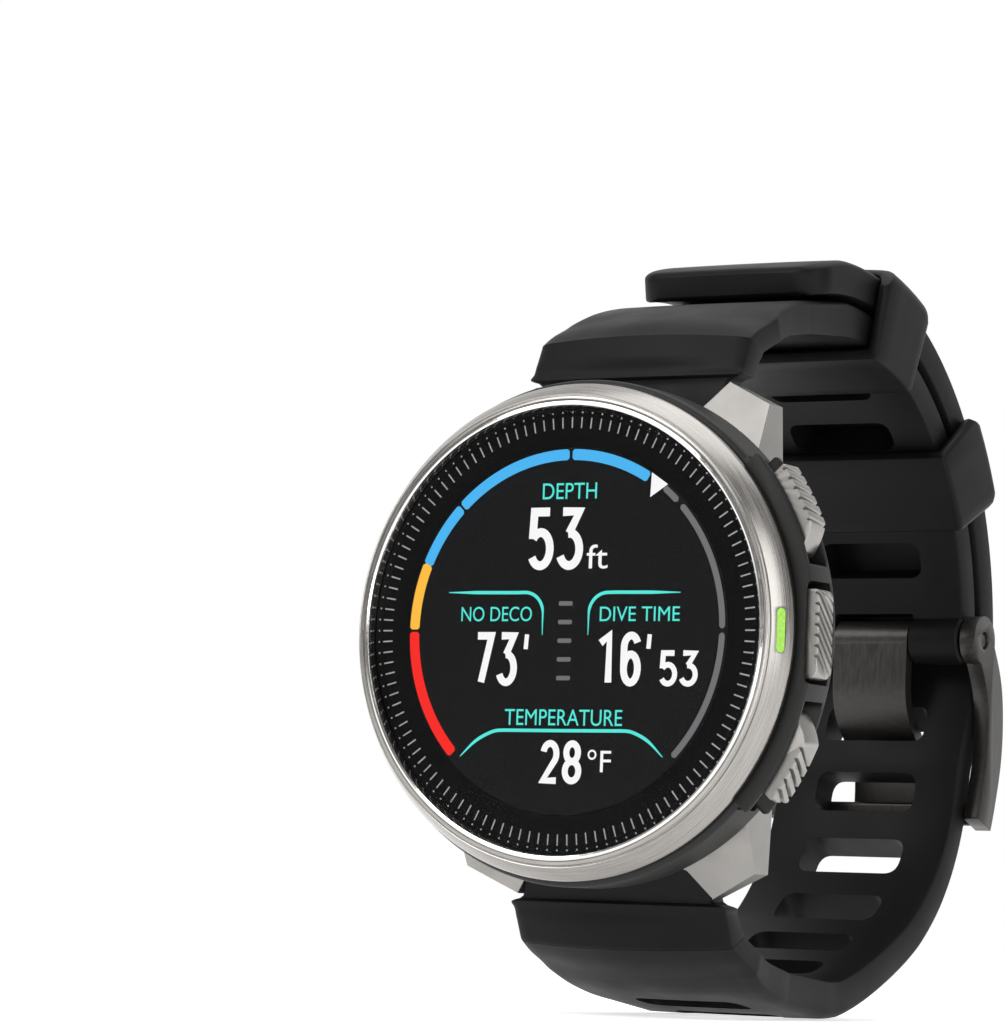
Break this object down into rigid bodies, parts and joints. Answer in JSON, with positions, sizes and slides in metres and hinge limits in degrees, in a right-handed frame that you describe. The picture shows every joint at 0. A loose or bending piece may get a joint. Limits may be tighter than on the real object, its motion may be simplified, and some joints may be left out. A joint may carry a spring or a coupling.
{
  "type": "dive computer",
  "caption": "Wrist-worn dive computer: round display in a steel bezel, three side buttons, lugs and a buckled two-part silicone strap with two keepers and a pin buckle.",
  "frame": {"origin": "centre of the case back's flat outer face, where it meets the wrist", "axes": "+X towards 3 o'clock and the buttons, -Y out of the dial towards the viewer, +Y into the wrist and the strap loop, +Z towards 12 o'clock"},
  "size_m": [0.052, 0.0785, 0.0814],
  "materials": {
    "bead_blasted_steel": "fine bead-blasted stainless steel, satin",
    "brushed_steel": "stainless steel, brushed round its axis, polished inner edge",
    "dark_steel": "dark coated stainless steel, satin",
    "case_polymer": "fibre-reinforced polymer, fine matt texture",
    "silicone": "soft silicone with a silky matt finish",
    "crystal_glass": "polished sapphire with a black printed border",
    "display": "round full-colour display with a lit dive screen",
    "seal_rubber": "plain seal rubber",
    "circuit_board": "green circuit board",
    "battery_foil": "foil-wrapped cell",
    "contact_metal": "gold-plated contact metal",
    "light_window": "translucent green light window"
  },
  "bodies": {
    "watch": {"antenna": "contact_metal", "battery": "battery_foil", "bezel": "brushed_steel", "bezel_seal": "seal_rubber", "button_lower_bushing": "brushed_steel", "button_lower_switch": "circuit_board", "button_middle_bushing": "brushed_steel", "button_middle_switch": "circuit_board", "button_upper_bushing": "brushed_steel", "button_upper_switch": "circuit_board", "case_back": "brushed_steel", "case_back_screw_1": "bead_blasted_steel", "case_back_screw_2": "bead_blasted_steel", "case_back_screw_3": "bead_blasted_steel", "case_back_screw_4": "bead_blasted_steel", "case_back_seal": "seal_rubber", "case_body": "case_polymer", "charging_contact_1": "contact_metal", "charging_contact_2": "contact_metal", "charging_contact_3": "contact_metal", "charging_contact_4": "contact_metal", "crystal": "crystal_glass", "crystal_gasket": "seal_rubber", "display_carrier": "case_polymer", "display_panel": "display", "light_window": "light_window", "lug_lower_left": "bead_blasted_steel", "lug_lower_right": "bead_blasted_steel", "lug_upper_left": "bead_blasted_steel", "lug_upper_right": "bead_blasted_steel", "main_board": "circuit_board", "minute_ring": "case_polymer", "pressure_port_cover": "brushed_steel", "pressure_sensor": "bead_blasted_steel", "vibration_motor": "bead_blasted_steel"},
    "button_upper": {"button_upper": "bead_blasted_steel", "button_upper_seal": "seal_rubber"},
    "button_middle": {"button_middle": "bead_blasted_steel", "button_middle_seal": "seal_rubber"},
    "button_lower": {"button_lower": "bead_blasted_steel", "button_lower_seal": "seal_rubber"},
    "strap_root_upper": {"strap_short_root": "silicone", "spring_bar_upper": "brushed_steel"},
    "strap_root_lower": {"strap_long_root": "silicone", "spring_bar_lower": "brushed_steel"},
    "release_lever_upper": {"release_lever_upper": "brushed_steel"},
    "release_lever_lower": {"release_lever_lower": "brushed_steel"},
    "strap_loop": {"strap_short": "silicone", "strap_long": "silicone", "buckle_pin": "brushed_steel"},
    "keeper_front": {"keeper_front": "silicone"},
    "keeper_back": {"keeper_back": "silicone"},
    "buckle_frame": {"buckle_frame": "dark_steel"},
    "buckle_tongue": {"buckle_tongue": "dark_steel"}
  },
  "joints": [
    {"name": "button_upper_press", "type": "slide", "parent": "watch", "child": "button_upper", "axis": [-0.8746, 0, -0.4848], "range_m": [0, 0.0008], "stiffness_N_per_m": 1200, "springref_m": -0.001},
    {"name": "button_middle_press", "type": "slide", "parent": "watch", "child": "button_middle", "axis": [-1, 0, 0], "range_m": [0, 0.0008], "stiffness_N_per_m": 1200, "springref_m": -0.001},
    {"name": "button_lower_press", "type": "slide", "parent": "watch", "child": "button_lower", "axis": [-0.8746, 0, 0.4848], "range_m": [0, 0.0008], "stiffness_N_per_m": 1200, "springref_m": -0.001},
    {"name": "strap_upper_hinge", "type": "hinge", "parent": "watch", "child": "strap_root_upper", "pos_m": [0, 0, 0.0226], "axis": [1, 0, 0], "range_deg": [-5, 5], "stiffness_Nm_per_rad": 0.12},
    {"name": "strap_loop_flex", "type": "hinge", "parent": "strap_root_upper", "child": "strap_loop", "pos_m": [0, 0.0032, 0.0302], "axis": [1, 0, 0], "range_deg": [-3.8, 3.8]},
    {"name": "strap_lower_hinge", "type": "hinge", "parent": "watch", "child": "strap_root_lower", "pos_m": [0, 0, -0.0226], "axis": [1, 0, 0], "range_deg": [-5, 5]},
    {"name": "release_lever_upper_slide", "type": "slide", "parent": "strap_root_upper", "child": "release_lever_upper", "axis": [-1, 0, 0], "range_m": [0, 0.0017], "stiffness_N_per_m": 300, "springref_m": -0.001},
    {"name": "release_lever_lower_slide", "type": "slide", "parent": "strap_root_lower", "child": "release_lever_lower", "axis": [-1, 0, 0], "range_m": [0, 0.0017], "stiffness_N_per_m": 300, "springref_m": -0.001},
    {"name": "keeper_front_slide", "type": "hinge", "parent": "strap_loop", "child": "keeper_front", "pos_m": [0, 0.0272, 0.004], "axis": [1, 0, 0], "range_deg": [-8, 5]},
    {"name": "keeper_back_slide", "type": "hinge", "parent": "strap_loop", "child": "keeper_back", "pos_m": [0, 0.0272, 0.004], "axis": [1, 0, 0], "range_deg": [-10, 10]},
    {"name": "buckle_frame_hinge", "type": "hinge", "parent": "strap_loop", "child": "buckle_frame", "pos_m": [0, 0.0582, 0.0041], "axis": [1, 0, 0], "range_deg": [0, 5]},
    {"name": "buckle_tongue_hinge", "type": "hinge", "parent": "buckle_frame", "child": "buckle_tongue", "pos_m": [0, 0.0582, 0.0041], "axis": [1, 0, 0], "range_deg": [0, 1.5]}
  ],
  "couplings": [
    {"joint": "strap_loop_flex", "follows": "strap_upper_hinge", "ratio": -0.748},
    {"joint": "strap_lower_hinge", "follows": "strap_upper_hinge", "ratio": 1}
  ]
}
